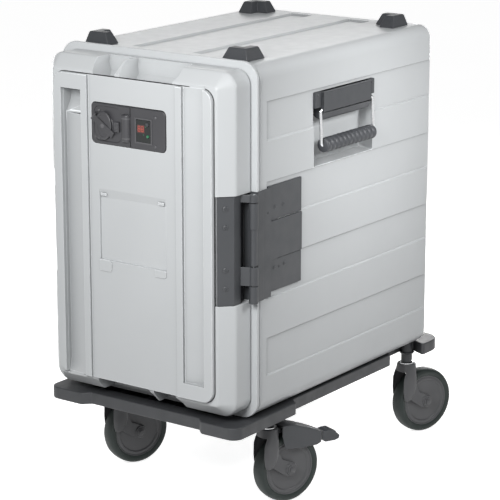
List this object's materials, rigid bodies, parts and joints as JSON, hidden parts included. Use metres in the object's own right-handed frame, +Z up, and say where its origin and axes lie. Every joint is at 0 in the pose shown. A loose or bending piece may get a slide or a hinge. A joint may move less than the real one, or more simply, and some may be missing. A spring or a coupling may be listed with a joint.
{
  "type": "insulated food carrier",
  "caption": "Front-loading insulated, heated food carrier with a side-hinged door, bail handles and stacking feet, standing on a four-caster trolley.",
  "frame": {"origin": "centre of the bounding box footprint, on the floor under the tyres", "axes": "+Z up, door faces -Y, the hinge side is +X"},
  "size_m": [0.4588, 0.7248, 0.8193],
  "materials": {
    "shell": "textured light grey polypropylene",
    "liner": "smooth light grey polypropylene",
    "foam": "closed-cell insulating foam",
    "dark": "satin anthracite glass-filled plastic",
    "frame": "matt anthracite moulded plastic",
    "rubber": "matt black silicone",
    "tyre": "matt dark rubber",
    "rim": "satin dark grey nylon",
    "steel": "polished stainless steel",
    "screen": "black display window",
    "green": "green push button"
  },
  "bodies": {
    "root": {"outer_shell": "shell", "inner_liner": "liner", "foam_core": "foam", "front_flange": "shell", "stacking_foot_front_left": "dark", "stacking_foot_front_right": "dark", "stacking_foot_back_left": "dark", "stacking_foot_back_right": "dark", "handle_bracket_left": "dark", "handle_bracket_right": "dark", "hinge_body_leaf": "dark", "hinge_pin": "steel", "latch_keeper": "dark", "trolley_frame": "frame", "caster_stem_front_left": "steel", "caster_stem_front_right": "steel", "caster_stem_back_left": "steel", "caster_stem_back_right": "steel"},
    "door": {"door_outer_shell": "shell", "door_front_plate": "shell", "door_foam": "foam", "door_inner_shell": "liner", "door_seal": "rubber", "hinge_door_leaf": "dark", "latch_bracket": "dark", "control_bezel": "dark", "inlet_socket": "dark", "display_module": "screen", "heater_cover": "steel", "fan_motor": "steel", "heating_ring": "steel"},
    "latch_lever": {"latch_lever": "dark"},
    "inlet_lid": {"inlet_lid": "dark"},
    "power_button": {"power_button": "dark"},
    "set_button": {"set_button": "green"},
    "fan_rotor": {"fan_rotor": "steel"},
    "bail_left": {"handle_bail_left": "steel", "handle_grip_left": "dark"},
    "bail_right": {"handle_bail_right": "steel", "handle_grip_right": "dark"},
    "fork_front_left": {"caster_fork_front_left": "rim", "caster_axle_front_left": "steel"},
    "wheel_front_left": {"caster_wheel_front_left": "rim", "caster_tyre_front_left": "tyre"},
    "brake_front_left": {"brake_pedal_front_left": "dark"},
    "fork_front_right": {"caster_fork_front_right": "rim", "caster_axle_front_right": "steel"},
    "wheel_front_right": {"caster_wheel_front_right": "rim", "caster_tyre_front_right": "tyre"},
    "brake_front_right": {"brake_pedal_front_right": "dark"},
    "fork_back_left": {"caster_fork_back_left": "rim", "caster_axle_back_left": "steel"},
    "wheel_back_left": {"caster_wheel_back_left": "rim", "caster_tyre_back_left": "tyre"},
    "fork_back_right": {"caster_fork_back_right": "rim", "caster_axle_back_right": "steel"},
    "wheel_back_right": {"caster_wheel_back_right": "rim", "caster_tyre_back_right": "tyre"}
  },
  "joints": [
    {"name": "door_hinge", "type": "hinge", "parent": "root", "child": "door", "pos_m": [0.20658, -0.29613, 0.492], "axis": [0, 0, 1], "range_deg": [0, 180]},
    {"name": "latch_turn", "type": "hinge", "parent": "door", "child": "latch_lever", "pos_m": [-0.19792, -0.32014, 0.492], "axis": [0, 0, 1], "range_deg": [0, 12]},
    {"name": "bail_swing_right", "type": "hinge", "parent": "root", "child": "bail_right", "pos_m": [0.20508, -0.01563, 0.6965], "axis": [0, -1, 0], "range_deg": [-8, 90]},
    {"name": "bail_swing_left", "type": "hinge", "parent": "root", "child": "bail_left", "pos_m": [-0.21392, -0.01563, 0.6965], "axis": [0, 1, 0], "range_deg": [-8, 90]},
    {"name": "inlet_lid_swing", "type": "hinge", "parent": "door", "child": "inlet_lid", "pos_m": [-0.08305, -0.35763, 0.69493], "axis": [-0.5548, 0, -0.832], "range_deg": [0, 100], "stiffness_Nm_per_rad": 0.01, "springref_deg": -28.65},
    {"name": "power_button_press", "type": "slide", "parent": "door", "child": "power_button", "axis": [0, 1, 0], "range_m": [0, 0.0012], "stiffness_N_per_m": 400, "springref_m": -0.001},
    {"name": "set_button_press", "type": "slide", "parent": "door", "child": "set_button", "axis": [0, 1, 0], "range_m": [0, 0.0012], "stiffness_N_per_m": 400, "springref_m": -0.001},
    {"name": "fan_spin", "type": "hinge", "parent": "door", "child": "fan_rotor", "pos_m": [-0.00442, -0.30413, 0.53], "axis": [0, 1, 0], "continuous": true},
    {"name": "caster_swivel_front_left", "type": "hinge", "parent": "root", "child": "fork_front_left", "pos_m": [-0.17442, -0.19564, 0.136], "axis": [0, 0, 1], "continuous": true},
    {"name": "caster_roll_front_left", "type": "hinge", "parent": "fork_front_left", "child": "wheel_front_left", "pos_m": [-0.16128, -0.16051, 0.0625], "axis": [0.9367, -0.3502, 0], "continuous": true},
    {"name": "brake_pedal_front_left", "type": "hinge", "parent": "fork_front_left", "child": "brake_front_left", "pos_m": [-0.16706, -0.17597, 0.1355], "axis": [-0.9367, 0.3502, 0], "range_deg": [0, 8]},
    {"name": "caster_swivel_front_right", "type": "hinge", "parent": "root", "child": "fork_front_right", "pos_m": [0.16558, -0.19564, 0.136], "axis": [0, 0, 1], "continuous": true},
    {"name": "caster_roll_front_right", "type": "hinge", "parent": "fork_front_right", "child": "wheel_front_right", "pos_m": [0.17872, -0.16051, 0.0625], "axis": [0.9367, -0.3502, 0], "continuous": true},
    {"name": "brake_pedal_front_right", "type": "hinge", "parent": "fork_front_right", "child": "brake_front_right", "pos_m": [0.17294, -0.17597, 0.1355], "axis": [-0.9367, 0.3502, 0], "range_deg": [0, 8]},
    {"name": "caster_swivel_back_left", "type": "hinge", "parent": "root", "child": "fork_back_left", "pos_m": [-0.17442, 0.26587, 0.136], "axis": [0, 0, 1], "continuous": true},
    {"name": "caster_roll_back_left", "type": "hinge", "parent": "fork_back_left", "child": "wheel_back_left", "pos_m": [-0.16128, 0.30099, 0.0625], "axis": [0.9367, -0.3502, 0], "continuous": true},
    {"name": "caster_swivel_back_right", "type": "hinge", "parent": "root", "child": "fork_back_right", "pos_m": [0.16558, 0.26587, 0.136], "axis": [0, 0, 1], "continuous": true},
    {"name": "caster_roll_back_right", "type": "hinge", "parent": "fork_back_right", "child": "wheel_back_right", "pos_m": [0.17872, 0.30099, 0.0625], "axis": [0.9367, -0.3502, 0], "continuous": true}
  ]
}
